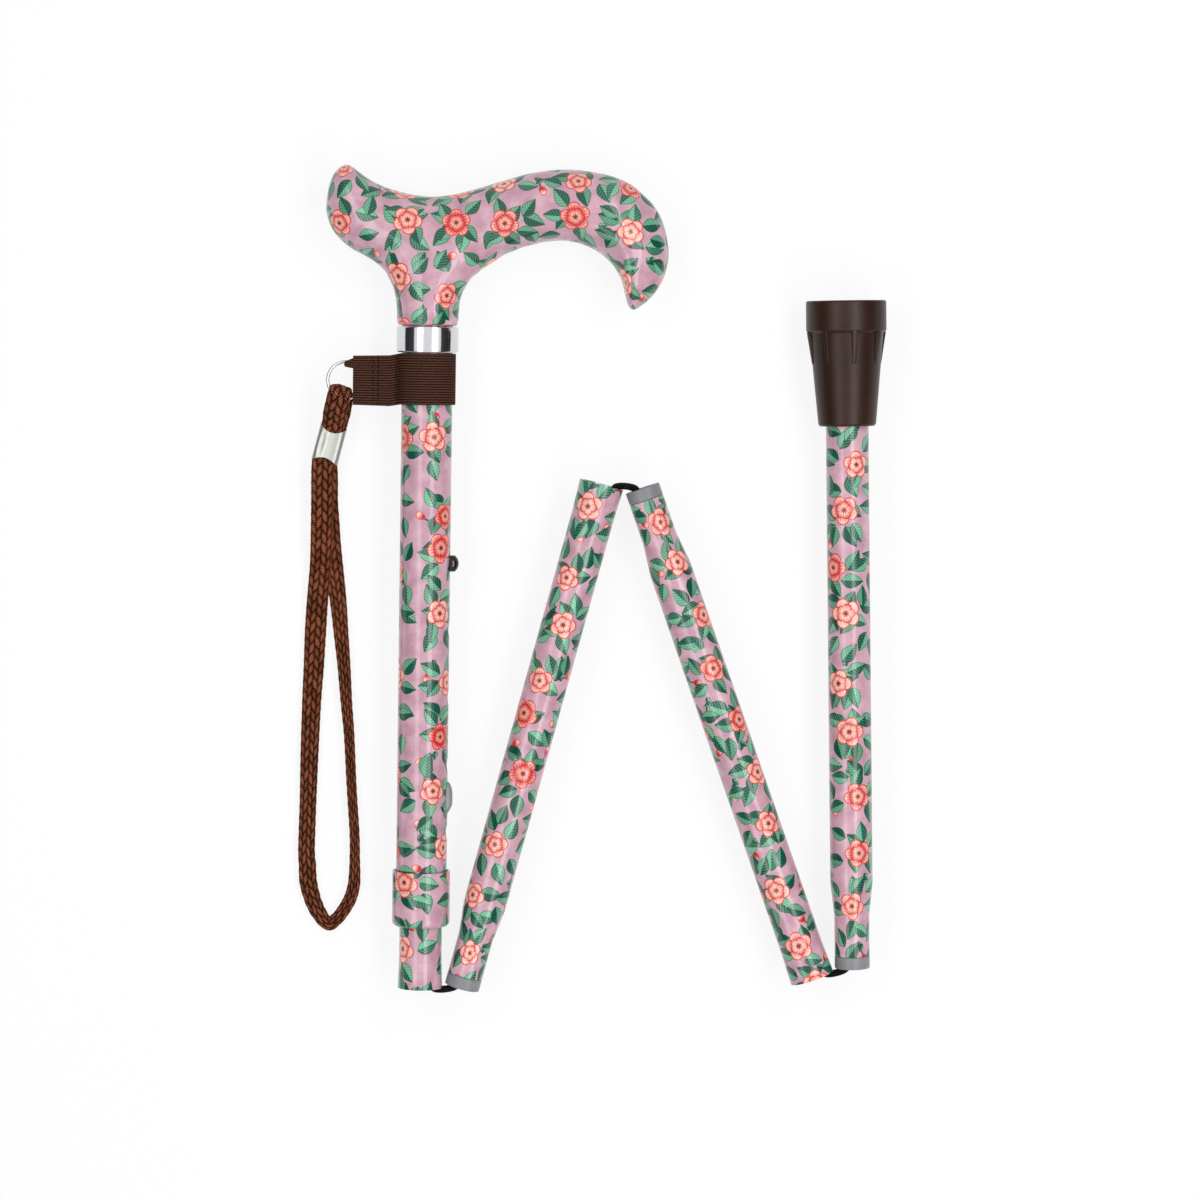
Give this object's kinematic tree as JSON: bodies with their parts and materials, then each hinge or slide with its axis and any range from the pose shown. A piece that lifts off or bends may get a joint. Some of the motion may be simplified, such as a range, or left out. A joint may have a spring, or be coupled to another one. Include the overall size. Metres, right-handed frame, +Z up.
{
  "type": "folding cane",
  "caption": "Folding walking cane with a derby handle, a height-setting slide with a snap button and locking collar, plug-in folding tubes on an elastic cord, a wrist loop and a rubber ferrule.",
  "frame": {"origin": "middle of the footprint of the folded cane, on the surface that it lies on, without the wrist cord", "axes": "+Y along the shaft towards the handle, +X towards the ferrule's side, +Z up"},
  "size_m": [0.2153, 0.3126, 0.03],
  "materials": {
    "printed_grip": "glossy film printed with flowers on a pink ground",
    "printed_tube": "glossy film printed with flowers on a pink ground, over aluminium",
    "wood_core": "turned beech",
    "polished_chrome": "polished",
    "dark_steel": "polished dark steel",
    "grey_plastic": "moulded, slightly translucent",
    "pale_plastic": "moulded",
    "elastic_cord": "woven elastic cord",
    "brown_rubber": "matt moulded rubber",
    "zinc_steel": "zinc plated",
    "brown_webbing": "ribbed elastic webbing",
    "russet_braid": "flat braid"
  },
  "bodies": {
    "upper": {"handle": "printed_grip", "handle_post": "wood_core", "handle_collar": "polished_chrome", "upper_tube": "printed_tube", "rest_pad": "grey_plastic", "lock_sleeve": "pale_plastic", "strap_band": "brown_webbing"},
    "locking_collar": {"locking_collar": "printed_tube"},
    "height_tube": {"height_tube": "printed_tube", "cord_anchor_upper": "pale_plastic", "shock_cord_top": "elastic_cord"},
    "snap_button": {"snap_button": "dark_steel"},
    "bend_upper": {"cord_bend_upper": "elastic_cord"},
    "second_section": {"second_tube": "printed_tube", "second_ring": "grey_plastic", "shock_cord_second": "elastic_cord"},
    "bend_middle": {"cord_bend_middle": "elastic_cord"},
    "third_section": {"third_tube": "printed_tube", "third_ring": "grey_plastic", "shock_cord_third": "elastic_cord"},
    "bend_lower": {"cord_bend_lower": "elastic_cord"},
    "tip_section": {"tip_tube": "printed_tube", "tip_ring": "grey_plastic", "shock_cord_tip": "elastic_cord", "cord_anchor_lower": "pale_plastic", "ferrule": "brown_rubber", "ferrule_washer": "zinc_steel"},
    "strap_ring": {"strap_ring": "polished_chrome"},
    "wrist_loop": {"wrist_cord": "russet_braid", "cord_crimp": "polished_chrome"}
  },
  "joints": [
    {"name": "height_slide", "type": "slide", "parent": "upper", "child": "height_tube", "axis": [0, -1, 0], "range_m": [0, 0.1016]},
    {"name": "button_press", "type": "slide", "parent": "height_tube", "child": "snap_button", "axis": [-1, 0, 0], "range_m": [0, 0.00465], "stiffness_N_per_m": 400, "deforming": ["snap_button"]},
    {"name": "collar_turn", "type": "hinge", "parent": "upper", "child": "locking_collar", "pos_m": [-0.06629, -0.11835, 0.015], "axis": [0, 1, 0], "range_deg": [0, 180]},
    {"name": "upper_fold", "type": "hinge", "parent": "height_tube", "child": "bend_upper", "pos_m": [-0.05849, -0.15161, 0.015], "axis": [0, 0, -1], "range_deg": [-7, 165.3], "deforming": ["cord_bend_upper", "shock_cord_top", "shock_cord_second"]},
    {"name": "middle_fold", "type": "hinge", "parent": "second_section", "child": "bend_middle", "pos_m": [0.00688, 0.03611, 0.015], "axis": [0, 0, 1], "range_deg": [-6.2, 145.3], "deforming": ["cord_bend_middle", "shock_cord_third"]},
    {"name": "lower_fold", "type": "hinge", "parent": "third_section", "child": "bend_lower", "pos_m": [0.08891, -0.14366, 0.015], "axis": [0, 0, -1], "range_deg": [-6, 161.6], "deforming": ["cord_bend_lower", "shock_cord_tip"]},
    {"name": "upper_plug", "type": "slide", "parent": "bend_upper", "child": "second_section", "axis": [-0.2538, -0.9673, 0], "range_m": [0, 0.0248]},
    {"name": "middle_plug", "type": "slide", "parent": "bend_middle", "child": "third_section", "axis": [-0.342, 0.9397, 0], "range_m": [0, 0.0248]},
    {"name": "lower_plug", "type": "slide", "parent": "bend_lower", "child": "tip_section", "axis": [0.0279, -0.9996, 0], "range_m": [0, 0.0248]},
    {"name": "ring_turn", "type": "hinge", "parent": "upper", "child": "strap_ring", "pos_m": [-0.09654, 0.0761, 0.015], "axis": [0, 0, 1], "range_deg": [-70, 0]},
    {"name": "loop_lift", "type": "hinge", "parent": "strap_ring", "child": "wrist_loop", "pos_m": [-0.10044, 0.0702, 0.015], "axis": [-0.8339, 0.5519, 0], "range_deg": [0, 60]}
  ],
  "couplings": [
    {"joint": "middle_fold", "follows": "upper_fold", "ratio": 0.87901}
  ]
}
